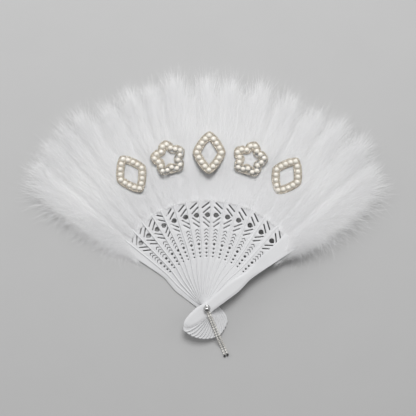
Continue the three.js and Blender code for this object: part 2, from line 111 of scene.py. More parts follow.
# Rivet, in millimetres: turned profiles of radius and height, and the ball with its socket
PIN_PROFILE = [
    (0, 0), (3.2, 0), (3.9, 0.15), (4.2, 0.5), (4.0, 0.85), (3.3, 1.15),
    (1.5, 1.2), (1.5, 28.8), (0, 28.9),
]
WASHER_PROFILE = [
    (1.75, 23.8), (4.0, 23.8), (4.2, 23.95), (4.2, 24.25), (4.0, 24.4), (1.75, 24.4), (1.75, 23.8),
]
BALL = {"radius": 3.8, "centre": 29.146, "seat": 2.4, "foot": 26.2, "socket": 1.7, "socket_top": 29.2}
BALL_STEPS = 20
SPIN_STEPS = 48

# Link ribbon between neighbouring sticks
RIBBON_INNER = 135.1 * MM
RIBBON_WIDTH = 10 * MM
RIBBON_LENGTH = 13.5 * MM
RIBBON_START = 1.5 * MM
RIBBON_THICKNESS = 0.2 * MM
RIBBON_RIPPLE = 0.04 * MM

# Plumes: radius of each one's soft edge and of the start of its fluff in millimetres,
# and how far its tip leans to the right in degrees
PLUME_REACH = [287, 297, 300, 300, 291, 295, 292, 297, 293, 291, 293, 292, 290, 296, 297, 282]
FLUFF_START = [
    127, 129, 130.5, 132, 133.5, 133.5, 133.5, 133.5,
    133.5, 133.5, 133.5, 133.5, 133, 132.5, 132, 130,
]
PLUME_LEAN = [-1.0, 3.6, 2.1, -1.2, -0.7, 3.0, -1.2, -2.6, 0.5, -1.5, 0.8, 2.5, 3.1, 0.1, -1.3, -0.9]
PLUME_START = 135 * MM
FLUFF_SEED = 700

# Quills: a table holds places along the plume in millimetres, and the values there
QUILL_RADIUS = 0.35 * MM
QUILL_SEAT = 0.3 * MM
QUILL_SHARE = 0.9
QUILL_POINTS = 24
QUILL_TAPER = 0.8
QUILL_SUNK = ([160, 185, 290], [1, 0.6, 0.45])
QUILL_RISE = ([151, 170], [0, 1])

# Surface of the fluff: heights in millimetres by radius, and thinning by share of the reach
PILE_HEIGHT = 13.7 * MM
RIGHT_RISE = 4 * MM
LEFT_OF_PATCHES = 0.15
RIGHT_OF_PATCHES = 0.3
ROOT_RISE = ([130, 146], [0.3, 2.6])
SETTLE_START = 140
SETTLE_LENGTH = 58
TIP_THINNING = ([0.8, 0.9, 1, 1.08], [1, 0.8, 0.5, 0.3])
WIDTH_SHARE = ([200, 280], [0.62, 0.5])
NARROWEST = 0.07
CROWN_FALL = 1.8 * MM
FRINGE_FALL = 0.62
FRINGE_HANG = ([11, 20], [1, 0])
# The fluff's underside leaves the sticks between these radii, and sinks to the table
UNDERSIDE_AT = [150, 170]
UNDERSIDE_OVER_STICK = 0.2
UNDERSIDE_OVER_TABLE = 0.4
PILE_THINNEST = 1.5 * MM
STRAND_LOWEST = 0.3 * MM

# Strands of the fluff, in tufts: tables by the way along the plume, in degrees and millimetres
STRANDS = 15500
FRINGE_SHARE = 1.9
TUFT_STRANDS = 5
STATIONS = 4
STRAND_WIDTH = 0.15 * MM
STRAND_TAPER = np.array([1.0, 0.95, 0.7, 0.16])
STRAND_TWIST = 0.22
STRAND_FACING = 0.2
STRAND_JITTER = 0.55 * MM
STRAND_LENGTH = ([0, 0.15, 0.5, 0.8, 1], [30, 38, 46, 56, 64])
STRAND_LENGTH_LIMITS = (0.3, 1.6)
STRAND_LONGEST = 1.08
# How far tufts root and lean, and how far the strands of one tuft spread
TUFT_ACROSS = 0.9
TUFT_LEAN = 0.09
SPREAD = {"across": 0.2, "way": 0.08, "lean": 0.19, "length": 0.3}
ROOT_FARTHEST = 1.15
ROOT_CROWDING = 0.75
ROOT_JITTER = 1.2 * MM
# Share of the strands that start near the sticks, and the share of the way that they cover
ROOT_SHARE = 0.14
ROOT_WAY = 0.04
TIP_ROOM = 7 * MM
TIP_LENGTH = 46 * MM
TIP_SOLID = 7 * MM
TIP_FADE = 8 * MM
TIP_SPARE = 13 * MM
LOBE_DEPTH = 44 * MM
BARB_FAN = ([0, 0.4, 0.8, 1], [6, 8, 7, 4])
BARB_LOOSE = ([0.5, 1], [1, 0.6])
FRINGE_FAN = ([0, 0.3, 0.7, 1], [98, 88, 70, 42])
FRINGE_LOOSE = 1.8
# What differs between the strands of a plume and those of the fringe on the outer sides
BARBS = {"lobe": 1, "root": 1, "shortest": 0.55, "spare": 1, "curl": 0.2, "bend": 0.2}
FRINGE = {"lobe": 0.35, "root": 0.34, "shortest": 0.3, "spare": 0.3, "curl": 0.4, "bend": 0.1}
# How pale a strand is by where its root lies along the plume: darker near the sticks and towards the tips,
# which is painted shade
TONE_WITH_PAINTED_SHADE = ([135, 185, 215, 245], [0, 0.6, 0.6, 0.15])
TONE_SPREAD = 0.4

# Fringe on the outer sides of the two end plumes, in millimetres along the guard
# and out from its middle line
FRINGE_START = 107 * MM
FRINGE_ROOM = 6 * MM
FRINGE_EDGE = {"solid": 0.32, "fade": 0.2, "farthest": 1.08}
FRINGE_ALONG = [114, 132, 158, 195, 222, 244, 269]
FRINGE_LEFT = [22, 37, 42, 46, 54, 53, 42]
FRINGE_RIGHT = [20, 40, 54, 60, 62, 58, 46]

# Pearl patches
PATCHES = {
    "pearl_diamond_left": "rib_04",
    "pearl_flower_left": "rib_06",
    "pearl_diamond_middle": "rib_08",
    "pearl_flower_right": "rib_10",
    "pearl_diamond_right": "rib_12",
}
PATCH_RADIUS = 191.25 * MM
PATCH_TURNS = np.radians(0.8 + 15.2 * np.arange(-2, 3))
PATCH_BACKING = 0.9 * MM
PATCH_BAND = 10.5 * MM
PATCH_GAP = 0.3 * MM
PATCH_SINK = 1.5 * MM
PATCH_CLEAR = 20 * MM
PATCH_SLOPE = 0.45
FELT_EDGE = 0.2 * MM
# Motifs of pearls, in millimetres
DIAMOND_HALF_WIDTH = 15
DIAMOND_HALF_HEIGHT = 21
DIAMOND_POWER = 1.25
FLOWER_RADIUS = 14.6
FLOWER_SWELL = 0.2
PETALS = 5
MOTIF_STEPS = 400
BAND_POINTS = 20
PEARL_RADIUS = 3.0 * MM
PEARL_PITCH = 6.35 * MM
BEAD_RADIUS = 1.05 * MM
BEAD_CUT = -0.3 * MM
BEAD_PITCH = 2.15 * MM
BEAD_LINE = 4.15 * MM

# Tassel, in millimetres: its ring, and the distance and height of its strands along their line
RING = {"radius": 3.2, "wire": 0.6, "level": 25.3, "sides": 12}
TASSEL_TURN = math.radians(180 + 21)
TASSEL_LINE = [
    (4.1, 25.3), (10.4, 25.0), (15.2, 21.92), (20, 19.68), (25.2, 17.16), (30, 16.18),
    (36, 14.64), (41.2, 13.24), (46, 9), (52, 4.6), (58, 2), (71, 1.6),
]
STRAND_SPACING = 2.7
STRAND_SPREAD = 1.3
STONE_PITCH = 3.4 * MM
CUP_RADIUS = 1.36 * MM
CUP_DEPTH = 0.9 * MM
CUP_LEVEL = -0.1 * MM
CUP_RIM = 0.18 * MM
CUP_HOLLOW = 0.4 * MM
LINK_RADIUS = 0.35 * MM
LINK_LEVEL = -0.2 * MM
STONE_GIRDLE = 1.3 * MM
STONE_TABLE = 1.0 * MM
STONE_HEIGHT = 0.6 * MM
STOP_RADIUS = 1.6 * MM
STOP_LEVEL = 0.1 * MM
STOP_CUT = 1.0 * MM

# Stage: the camera looks straight down, and sees so far to each side at a distance below it
FLOOR_SIZE = 6
FLOOR_GAP = 0.4 * MM
CAMERA_PLACE = (0.00125, 0.12375, 0.80)
VIEW_HALF_WIDTH = 0.26
VIEW_DISTANCE = 0.787


class Wire:
    """A socket of a node, on which arithmetic adds Math nodes."""

    def __init__(self, graph, socket):
        self.graph = graph
        self.socket = socket

    def maths(self, operation, first, second):
        return self.graph.node("ShaderNodeMath", {"operation": operation}, {0: first, 1: second})

    def __add__(self, other):
        return self.maths("ADD", self, other)

    __radd__ = __add__

    def __sub__(self, other):
        return self.maths("SUBTRACT", self, other)

    def __rsub__(self, other):
        return self.maths("SUBTRACT", other, self)

    def __mul__(self, other):
        return self.maths("MULTIPLY", self, other)

    __rmul__ = __mul__


class Graph:
    """A tree of shader nodes, which are added by their type."""

    def __init__(self, tree):
        self.tree = tree

    def node(self, kind, settings, inputs, output=0):
        made = self.tree.nodes.new(kind)
        for name, value in settings.items():
            setattr(made, name, value)
        for socket, value in inputs.items():
            self.feed(made.inputs[socket], value)
        return Wire(self, made.outputs[output])

    def feed(self, socket, value):
        if isinstance(value, Wire):
            self.tree.links.new(value.socket, socket)
        else:
            socket.default_value = value


class Finish(Graph):
    """A material with one Principled shader."""

    def __init__(self, name, sockets):
        self.material = bpy.data.materials.new(name)
        self.material.use_nodes = True
        super().__init__(self.material.node_tree)
        self.shader = self.tree.nodes["Principled BSDF"]
        for socket, value in sockets.items():
            self.shader.inputs[socket].default_value = value

    def shade(self, **values):
        for name, value in values.items():
            self.feed(self.shader.inputs[name.replace("_", " ").title()], value)

    def place(self):
        """Object coordinates, in metres."""
        return self.node("ShaderNodeTexCoord", {}, {}, "Object")

    def noise(self, size, detail=3.0):
        """Noise from 0 to 1 whose lumps are about size metres across."""
        inputs = {"Vector": self.place(), "Scale": 1 / size, "Detail": detail}
        return self.node("ShaderNodeTexNoise", {}, inputs, "Fac")

    def blend(self, share, first, second):
        """A colour between two."""
        inputs = {"Fac": share, "Color1": (*first, 1), "Color2": (*second, 1)}
        return self.node("ShaderNodeMixRGB", {}, inputs)

    def bump(self, height, distance, strength=1.0):
        inputs = {"Height": height, "Distance": distance, "Strength": strength}
        self.shade(normal=self.node("ShaderNodeBump", {}, inputs))


def moulded_plastic():
    finish = Finish("stick_plastic", {"Specular IOR Level": 0.45})
    cloudy = finish.noise(9 * MM)
    fine = finish.noise(0.5 * MM, 2)
    finish.shade(base_color=finish.blend(cloudy, (0.675, 0.677, 0.69), (0.725, 0.727, 0.735)))
    finish.shade(roughness=0.34 + 0.12 * cloudy + 0.06 * fine)
    finish.bump(fine + 0.6 * cloudy, 0.03 * MM)
    return finish.material


def soft_down():
    """The strands' map holds how pale each strand is across it, random and with painted shade near the
    sticks and towards the tips, and the way along it upwards.
    """
    finish = Finish("feather_down", {"Roughness": 0.85, "Specular IOR Level": 0.2})
    chart = finish.node("ShaderNodeUVMap", {"uv_map": "OFBake"}, {})
    tone_with_painted_shade = finish.node("ShaderNodeSeparateXYZ", {}, {0: chart}, "X")
    way = finish.node("ShaderNodeSeparateXYZ", {}, {0: chart}, "Y")
    # Paler towards each strand's tip, and darker where painted shade lies near the sticks and towards the
    # plume's tips
    pale_with_painted_shade = tone_with_painted_shade * 0.8 + way * 0.2
    finish.shade(base_color=finish.blend(pale_with_painted_shade, (0.84, 0.84, 0.85), (0.985, 0.985, 0.985)))
    return finish.material


def quill_horn():
    finish = Finish("quill_horn", {"Specular IOR Level": 0.5})
    streaks = finish.noise(2 * MM)
    finish.shade(base_color=finish.blend(streaks, (0.86, 0.855, 0.83), (0.93, 0.93, 0.92)))
    finish.shade(roughness=0.35 + 0.2 * streaks)
    return finish.material


def satin_weave():
    finish = Finish("link_ribbon", {"Sheen Weight": 0.3})
    threads = {"Vector": finish.place(), "Scale": 620.0}
    warp = finish.node("ShaderNodeTexWave", {"bands_direction": "X"}, threads, "Fac")
    weft = finish.node("ShaderNodeTexWave", {"bands_direction": "Y"}, threads, "Fac")
    weave = 0.5 * warp + 0.5 * weft
    finish.shade(base_color=finish.blend(weave, (0.76, 0.76, 0.75), (0.87, 0.87, 0.86)))
    finish.shade(roughness=0.6 - 0.2 * weave)
    finish.bump(weave, 0.06 * MM)
    return finish.material


def patch_felt():
    finish = Finish("patch_felt", {"Roughness": 0.9, "Sheen Weight": 0.4})
    nap = finish.noise(0.5 * MM, 5)
    finish.shade(base_color=finish.blend(nap, (0.40, 0.36, 0.30), (0.60, 0.55, 0.48)))
    finish.bump(nap, 0.2 * MM)
    return finish.material


def cream_pearl():
    finish = Finish("cream_pearl", {"Coat Weight": 0.6, "Coat Roughness": 0.08, "Sheen Weight": 0.15})
    bead = finish.noise(7 * MM, 1)
    skin = finish.noise(0.8 * MM, 3)
    finish.shade(base_color=finish.blend(bead, (0.84, 0.79, 0.70), (0.90, 0.87, 0.81)))
    finish.shade(roughness=0.16 + 0.12 * skin)
    return finish.material


def champagne_bead():
    finish = Finish("champagne_bead", {"Metallic": 0.9})
    bead = finish.noise(2.5 * MM, 2)
    finish.shade(base_color=finish.blend(bead, (0.52, 0.47, 0.40), (0.86, 0.82, 0.74)))
    finish.shade(roughness=0.16 + 0.2 * bead)
    return finish.material


def polished_chrome():
    finish = Finish("chrome", {"Metallic": 1.0})
    haze = finish.noise(1.5 * MM, 4)
    finish.shade(base_color=finish.blend(haze, (0.50, 0.50, 0.50), (0.58, 0.575, 0.565)))
    finish.shade(roughness=0.05 + 0.08 * haze)
    return finish.material


def foiled_stone():
    finish = Finish("rhinestone", {"Coat Weight": 1.0, "Coat Roughness": 0.02})
    flash = finish.noise(1.2 * MM, 1)
    finish.shade(base_color=finish.blend(flash, (0.80, 0.78, 0.72), (0.95, 0.94, 0.91)))
    finish.shade(roughness=0.04 + 0.08 * flash)
    return finish.material


def silver_cup():
    finish = Finish("silver_cup", {"Metallic": 0.85})
    haze = finish.noise(0.9 * MM, 3)
    finish.shade(base_color=finish.blend(haze, (0.78, 0.76, 0.71), (0.92, 0.90, 0.86)))
    finish.shade(roughness=0.28 + 0.2 * haze)
    return finish.material


def gunmetal_stop():
    finish = Finish("gunmetal_stop", {"Metallic": 0.7})
    haze = finish.noise(0.9 * MM, 3)
    finish.shade(base_color=finish.blend(haze, (0.05, 0.05, 0.05), (0.12, 0.115, 0.11)))
    finish.shade(roughness=0.25 + 0.15 * haze)
    return finish.material


def pale_floor():
    finish = Finish("pale_floor", {"Specular IOR Level": 0.1, "Roughness": 0.9})
    paper = finish.noise(60 * MM, 2)
    finish.shade(base_color=finish.blend(paper, (0.503, 0.503, 0.503), (0.521, 0.521, 0.521)))
    return finish.material


def select(*pieces):
    bpy.ops.object.select_all(action="DESELECT")
    for piece in pieces:
        piece.select_set(True)
    bpy.context.view_layer.objects.active = pieces[0]


@contextmanager
def editing(piece):
    """Edit mode on one piece, with all of it selected."""
    select(piece)
    bpy.ops.object.mode_set(mode="EDIT")
    bpy.ops.mesh.select_all(action="SELECT")
    yield
    bpy.ops.object.mode_set(mode="OBJECT")


def close_up(piece):
    """Merges doubled points and turns the faces outwards."""
    with editing(piece):
        bpy.ops.mesh.remove_doubles(threshold=1e-6)
        bpy.ops.mesh.normals_make_consistent(inside=False)


def settle(piece):
    """Puts the piece's place into its mesh."""
    bpy.context.view_layer.update()
    piece.data.transform(piece.matrix_world)
    piece.matrix_world = Matrix.Identity(4)


def copy_of(piece, matrix):
    twin = piece.copy()
    twin.data = piece.data.copy()
    bpy.context.collection.objects.link(twin)
    twin.data.transform(matrix)
    return twin


def joined(name, parts):
    select(*parts)
    bpy.ops.object.join()
    piece = bpy.context.view_layer.objects.active
    piece.name = name
    return piece


def drop(*pieces):
    for piece in pieces:
        bpy.data.objects.remove(piece)


def linked(name, data):
    """A new object in the scene."""
    piece = bpy.data.objects.new(name, data)
    bpy.context.collection.objects.link(piece)
    return piece


def primitive(name, add, **sizes):
    """A new primitive, with its place put into its mesh."""
    bpy.ops.object.select_all(action="DESELECT")
    add(**sizes)
    piece = bpy.context.view_layer.objects.active
    piece.name = name
    settle(piece)
    return piece


def score(piece, cuts):
    """Cuts the faces of a piece along planes, each a point and a normal."""
    with editing(piece):
        for place, normal in cuts:
            bpy.ops.mesh.select_all(action="SELECT")
            bpy.ops.mesh.bisect(plane_co=place, plane_no=normal)


def on_stick(index, level):
    """The place of a stick's own frame, at a height."""
    return Matrix.Translation((0, 0, level)) @ Matrix.Rotation(-STICK_TURNS[index], 4, "Z")


def dress(piece, body, node=None, materials=(), smooth=35):
    """Gives a piece its finish, and the body and the node that it stands for."""
    select(piece)
    if smooth:
        bpy.ops.object.shade_smooth_by_angle(angle=math.radians(smooth))
    for material in materials:
        piece.data.materials.append(material)
    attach(piece, body)
    if node:
        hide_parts(node)
    return piece


def flow(points, steps, closed=False):
    """A smooth line through points, with so many steps between each two."""
    points = np.asarray(points, float)
    if closed:
        held = np.vstack([points[-1:], points, points[:2]])
    else:
        held = np.vstack([2 * points[:1] - points[1:2], points, 2 * points[-1:] - points[-2:-1]])
    share = (np.arange(steps) / steps)[None, :, None]
    before, start, end, after = (held[k : len(held) - 3 + k, None, :] for k in range(4))
    line = start + share / 2 * (end - before)
    line = line + share**2 / 2 * (2 * before - 5 * start + 4 * end - after)
    line = line + share**3 / 2 * (3 * start - before - 3 * end + after)
    line = line.reshape(-1, points.shape[1])
    return line if closed else np.vstack([line, points[-1:]])


def circle(x, y, radius, sides):
    turns = np.arange(sides) * 2 * math.pi / sides
    return np.stack([x + radius * np.cos(turns), y + radius * np.sin(turns)], 1)


def at_level(points, level):
    """Flat points with a height."""
    return [(x, y, level) for x, y in points]


def add_line(curve, points, closed=True):
    """Adds a line through points to a curve."""
    spline = curve.splines.new("POLY")
    spline.points.add(len(points) - 1)
    for point, place in zip(spline.points, points):
        point.co = (*place, 1)
    spline.use_cyclic_u = closed
    return spline


def made_mesh(name, curve, level=0):
    """A closed mesh made from a curve, raised to a height."""
    piece = linked(name, curve)
    piece.location.z = level
    select(piece)
    bpy.ops.object.convert(target="MESH")
    piece = bpy.context.view_layer.objects.active
    settle(piece)
    close_up(piece)
    return piece


def flat_plate(name, outline, holes, thickness, edge):
    """A plate with soft edges, its underside at height 0."""
    curve = bpy.data.curves.new(name, "CURVE")
    curve.dimensions = "2D"
    curve.fill_mode = "BOTH"
    curve.extrude = thickness / 2 - edge
    curve.bevel_depth = edge
    curve.bevel_resolution = 1
    curve.offset = -edge
    for loop in [outline, *(hole[::-1] for hole in holes)]:
        add_line(curve, at_level(loop, 0))
    return made_mesh(name, curve, thickness / 2)


def turned(name, profile):
    """A turned piece: a profile of radius and height in millimetres, spun about the rivet's axis."""
    mesh = bpy.data.meshes.new(name)
    points = [(radius * MM, 0, height * MM) for radius, height in profile]
    mesh.from_pydata(points, [(k, k + 1) for k in range(len(points) - 1)], [])
    piece = linked(name, mesh)
    with editing(piece):
        bpy.ops.mesh.spin(steps=SPIN_STEPS, angle=2 * math.pi, center=(0, 0, 0), axis=(0, 0, 1))
    close_up(piece)
    return piece


def ease(start, end, share):
    return start + (end - start) * (1 - math.cos(math.pi * share)) / 2


def blade_width(sizes, y):
    """Half the width of a stick's blade."""
    if y < BULGE_AT:
        return ease(sizes["neck"], sizes["bulge"], (y - NECK_AT) / (BULGE_AT - NECK_AT))
    if y < WAIST_AT:
        return ease(sizes["bulge"], sizes["waist"], (y - BULGE_AT) / (WAIST_AT - BULGE_AT))
    share = (y - WAIST_AT) / (LAND_AT - WAIST_AT)
    return sizes["waist"] + (sizes["shoulder"] - sizes["waist"]) * share**1.2


def stick_edge(sizes):
    """One edge of a stick along +Y: its lobe below the rivet, the waved blade and the rounded land."""
    edge = [(x * sizes["lobe"], y * sizes["lobe_reach"]) for x, y in LOBE_SHAPE]
    edge += [(blade_width(sizes, y), y) for y in np.linspace(NECK_AT, LAND_AT, BLADE_POINTS)]
    edge += [(x * sizes["shoulder"], LAND_AT + y * (STICK_REACH - LAND_AT)) for x, y in LAND_SHAPE]
    return edge


def stick_outline(right_sizes, left_sizes):
    left = [(-x, y) for x, y in stick_edge(left_sizes)[-2:0:-1]]
    return flow(stick_edge(right_sizes) + left, 4, closed=True)


def slot_hole(hand, right, down, run, drop):
    """A slanting slot with round ends."""
    start = np.array([hand * (right - run / 2), LAND_AT - down + drop / 2])
    end = np.array([hand * (right + run / 2), LAND_AT - down - drop / 2])
    lean = math.atan2(*(end - start)[::-1])
    turns = np.linspace(math.pi / 2, -math.pi / 2, 7)
    cap = SLOT_WIDTH / 2 * np.stack([np.cos(lean + turns), np.sin(lean + turns)], 1)
    return np.vstack([end + cap, start - cap])[::-1]


def chevron_hole(index):
    top = LAND_AT - CHEVRON["down"] - index * CHEVRON["pitch"]
    half, rise, stroke = CHEVRON["width"] / 2, CHEVRON["rise"], CHEVRON["stroke"]
    left = [(0, top), (-half, top - rise), (-half, top - rise - stroke), (0, top - stroke)]
    return np.array(left + [(half, top - rise - stroke), (half, top - rise)])


def eye_hole(hand):
    """A round hole with one blunt corner, which points towards the middle line."""
    points = circle(0, 0, EYE["radius"], 24)
    towards = np.clip(-points[:, 0] / EYE["radius"], 0, 1)
    points[:, 0] -= (EYE["corner"] - EYE["radius"]) * towards**6
    points[:, 1] *= 1 - 0.35 * towards**4
    points += (EYE["right"], LAND_AT - EYE["down"])
    return points if hand > 0 else (points * (-1, 1))[::-1]


def rib_holes(hand):
    """The pierced pattern. hand is -1 on a rib that is turned over."""
    holes = [slot_hole(hand, **slot) for slot in SLOTS]
    holes.append(eye_hole(hand))
    holes += [chevron_hole(k) for k in range(CHEVRON["count"])]
    holes += [circle(0, LAND_AT - down, radius, 14) for down, radius in DOTS]
    stitches = [side * STITCH["spacing"] for side in (-1, 0, 1)]
    holes += [circle(x, LAND_AT + STITCH["down"], STITCH["radius"], 8) for x in stitches]
    return holes


def lobe_width(sizes, y):
    """Half the width of a stick's lobe, below the rivet."""
    places = [0] + [-below for _, below in reversed(LOBE_SHAPE)]
    widths = [LOBE_NECK] + [width for width, _ in reversed(LOBE_SHAPE)]
    return sizes["lobe"] * np.interp(-y / sizes["lobe_reach"], places, widths)


def round_handle(stick, right_sizes, left_sizes):
    """Rounds the upper edges of a stick's lobe and of its plain end."""
    cuts = [((x * MM, 0, 0), (1, 0, 0)) for x in CROWN_CUTS_ACROSS]
    cuts += [((0, y * MM, 0), (0, 1, 0)) for y in CROWN_CUTS_ALONG]
    score(stick, cuts)
    for point in stick.data.vertices:
        x, y, z = point.co / MM
        sizes = right_sizes if x > 0 else left_sizes
        width = blade_width(sizes, y) if y > NECK_AT else lobe_width(sizes, y)
        inside = max(min(width - abs(x), y + sizes["lobe_reach"]), 0)
        fade = np.interp(y, CROWN_END, [1, 0])
        drop = fade * CROWN_DROP * max(1 - inside / CROWN_WIDTH, 0) ** 2
        lift = max(2 * z * MM / STICK_THICKNESS - 1, 0)
        point.co.z -= drop * lift * MM


def rim_ring(name, outline):
    """A low rounded rim that follows a rib's edge."""
    profile = bpy.data.curves.new("rim_profile", "CURVE")
    profile.dimensions = "2D"
    section = circle(0, 0, 1, RIM_SIDES) * (RIM_WIDTH / 2, STICK_THICKNESS / 2)
    add_line(profile, at_level(section, 0))
    former = linked("rim_former", profile)
    curve = bpy.data.curves.new(name, "CURVE")
    curve.dimensions = "3D"
    curve.twist_mode = "Z_UP"
    curve.bevel_mode = "OBJECT"
    curve.bevel_object = former
    add_line(curve, at_level(moved_out(outline, -RIM_WIDTH / 2), STICK_THICKNESS / 2))
    rim = made_mesh(name, curve)
    drop(former)
    return rim


def thin_land(stick):
    """Thins a stick's land for the quill."""
    step = LAND_AT * MM
    score(stick, [((0, y, 0), (0, 1, 0)) for y in (step, step + LAND_STEP)])
    for point in stick.data.vertices:
        if point.co.y > step + LAND_STEP / 2:
            point.co.z *= LAND_THICKNESS / STICK_THICKNESS


def moulded_rib(name, hand, sizes):
    """A pierced rib at the rivet, along +Y: a thin web with a raised rim.

    hand is -1 on a rib that is turned over.
    """
    outline = stick_outline(sizes, sizes) * MM
    holes = [circle(0, 0, PIN_HOLE, PIN_HOLE_SIDES), *(hole * MM for hole in rib_holes(hand))]
    web = flat_plate(name, outline, holes, WEB_THICKNESS, WEB_EDGE)
    rib = joined(name, [web, rim_ring(f"{name}_rim", outline)])
    thin_land(rib)
    return rib


def moulded_guard(name, right_sizes, left_sizes):
    """A plain guard at the rivet, along +Y."""
    outline = stick_outline(right_sizes, left_sizes) * MM
    hole = circle(0, 0, PIN_HOLE, PIN_HOLE_SIDES)
    guard = flat_plate(name, outline, [hole], STICK_THICKNESS, STICK_EDGE)
    round_handle(guard, right_sizes, left_sizes)
    thin_land(guard)
    return guard


def make_sticks(plastic):
    for index, stick in enumerate(STICKS):
        name = f"{stick}_moulding"
        if stick == "back_guard":
            piece = moulded_guard(name, BACK_GUARD_INNER, BACK_GUARD)
        elif stick == "front_guard":
            piece = moulded_guard(name, FRONT_GUARD, FRONT_GUARD)
        else:
            turned_over = (index > LAST_RIB_FACE_UP) != (index == REVERSED_RIB)
            reach = RIB["lobe_reach"] - LOBE_FALL * max(FIRST_FULL_LOBE - index, 0)
            piece = moulded_rib(name, -1 if turned_over else 1, {**RIB, "lobe_reach": reach})
        piece.data.transform(on_stick(index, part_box(stick)[0].z))
        dress(piece, stick, stick, [plastic])


def ball_profile():
    """The profile of the rivet's ball, from the socket inside it to its top."""
    radius, centre, seat = BALL["radius"], BALL["centre"], BALL["seat"]
    start = math.asin(seat / radius)
    arc = [start + (math.pi - start) * k / BALL_STEPS for k in range(1, BALL_STEPS)]
    profile = [(0, BALL["socket_top"]), (BALL["socket"], BALL["socket_top"])]
    profile += [(BALL["socket"], BALL["foot"]), (seat, BALL["foot"])]
    profile += [(radius * math.sin(turn), centre - radius * math.cos(turn)) for turn in arc]
    return profile + [(0, centre + radius)]


def make_rivet(chrome):
    dress(turned("rivet_shank", PIN_PROFILE), "front_guard", "rivet_pin", [chrome])
    dress(turned("rivet_collar", WASHER_PROFILE), "front_guard", "rivet_washer", [chrome])
    dress(turned("rivet_bead", ball_profile()), "front_guard", "rivet_ball", [chrome])


def make_ribbons(satin):
    """A strip of ribbon on each stick's land, that reaches under the next stick."""
    start = RIBBON_START / RIBBON_INNER
    sweep = RIBBON_LENGTH / (RIBBON_INNER + RIBBON_WIDTH / 2)
    grid = {"x_subdivisions": 14, "y_subdivisions": 8, "size": 1}
    master = primitive("ribbon_master", bpy.ops.mesh.primitive_grid_add, **grid)
    for point in master.data.vertices:
        turn = start + (point.co.x + 0.5) * sweep
        radius = RIBBON_INNER + (point.co.y + 0.5) * RIBBON_WIDTH
        ripple = RIBBON_RIPPLE * math.sin(9 * point.co.x)
        point.co = (radius * math.sin(turn), radius * math.cos(turn), ripple)
    solid = master.modifiers.new("cloth", "SOLIDIFY")
    solid.thickness = RIBBON_THICKNESS
    solid.offset = 0
    select(master)
    bpy.ops.object.modifier_apply(modifier=solid.name)
    for index, stick in enumerate(STICKS[:-1]):
        node = f"link_ribbon_{index + 1:02d}"
        low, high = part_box(node)
        ribbon = copy_of(master, on_stick(index, (low.z + high.z) / 2))
        ribbon.name = f"{node}_satin"
        dress(ribbon, stick, node, [satin])
    drop(master)


def shaft_aside(index, along):
    """How far a plume's shaft lies to the right of its stick's middle line."""
    reach = PLUME_REACH[index] * MM
    share = np.clip((along - PLUME_START) / (reach - PLUME_START), 0, 1)
    return along * math.tan(math.radians(PLUME_LEAN[index])) * share**1.5


def side_width(index, neighbour, along):
    """Half the width of a plume towards a neighbour, which is the fringe's width on the outer sides."""
    if neighbour < 0:
        return np.interp(along / MM, FRINGE_ALONG, FRINGE_LEFT) * MM
    if neighbour == len(STICKS):
        return np.interp(along / MM, FRINGE_ALONG, FRINGE_RIGHT) * MM
    gap = abs(STICK_TURNS[neighbour] - STICK_TURNS[index]) * along
    spread = (shaft_aside(neighbour, along) - shaft_aside(index, along)) * (neighbour - index)
    return np.interp(along / MM, *WIDTH_SHARE) * np.maximum(gap + spread, NARROWEST * along)


def half_width(index, side, along):
    left = side_width(index, index - 1, along)
    right = side_width(index, index + 1, along)
    return np.where(side < 0, left, right)


def fluff_top(index, along, aside):
    """Height of the fluff's surface over a place in a stick's frame."""
    turn = STICK_TURNS[index] + np.arctan2(aside, along)
    radius = np.hypot(along, aside)
    under = np.array([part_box(node)[0].z for node in PATCHES]) - PATCH_GAP
    first, last = PATCH_TURNS[0] - LEFT_OF_PATCHES, PATCH_TURNS[-1] + RIGHT_OF_PATCHES
    stops = np.concatenate([[first], PATCH_TURNS, [last]])
    levels = np.concatenate([[PILE_HEIGHT], under + PATCH_SINK, [PILE_HEIGHT + RIGHT_RISE]])
    pile = np.interp(turn, stops, levels)
    seats = [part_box(stick)[1].z for stick in STICKS]
    seat = np.interp(turn, STICK_TURNS, seats) + np.interp(radius / MM, *ROOT_RISE) * MM
    settled = np.clip((radius / MM - SETTLE_START) / SETTLE_LENGTH, 0, 1)
    settled = settled**2 * (3 - 2 * settled)
    thinned = np.interp(radius / (PLUME_REACH[index] * MM), *TIP_THINNING)
    top = (seat + (pile - seat) * settled) * thinned
    for patch_turn, low in zip(PATCH_TURNS, under):
        right = radius * np.sin(turn - patch_turn)
        above = radius * np.cos(turn - patch_turn) - PATCH_RADIUS
        beside = np.hypot(right, above)
        top = np.minimum(top, low + PATCH_SLOPE * np.maximum(beside - PATCH_CLEAR, 0))
    return top


def strand_depth(chance):
    """Share of the pile's height at which a strand lies: most are near the top, and a few at the bottom."""
    near_top = 1 - 0.4 * chance
    between = 3 * (chance - 0.6)
    near_bottom = chance - 0.85
    return np.where(chance < 0.6, near_top, np.where(chance < 0.85, between, near_bottom))


def lay_strands(strands, index, side, outer, depth):
    """Sets the heights of strands, each at its own depth between the fluff's underside and its top."""
    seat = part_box(STICKS[index])[1].z
    for station in range(STATIONS):
        aside, along = strands[:, station, 0], strands[:, station, 1]
        beside = np.abs(aside - shaft_aside(index, along)) / half_width(index, side, along)
        fallen = np.clip(beside, 0, 1.2) ** 2
        top = fluff_top(index, along, aside)
        crowned = np.maximum(top - CROWN_FALL * fallen, 0.3 * top)
        top = np.where(outer, top * (1 - FRINGE_FALL * fallen), crowned)
        ends = [seat / MM + UNDERSIDE_OVER_STICK, UNDERSIDE_OVER_TABLE]
        bottom = np.interp(along / MM, UNDERSIDE_AT, ends) * MM
        hanging = np.interp(np.abs(aside) / MM, *FRINGE_HANG)
        bottom = np.minimum(np.where(outer, bottom * hanging, bottom), top - PILE_THINNEST)
        strands[:, station, 2] = bottom + depth * (top - bottom)


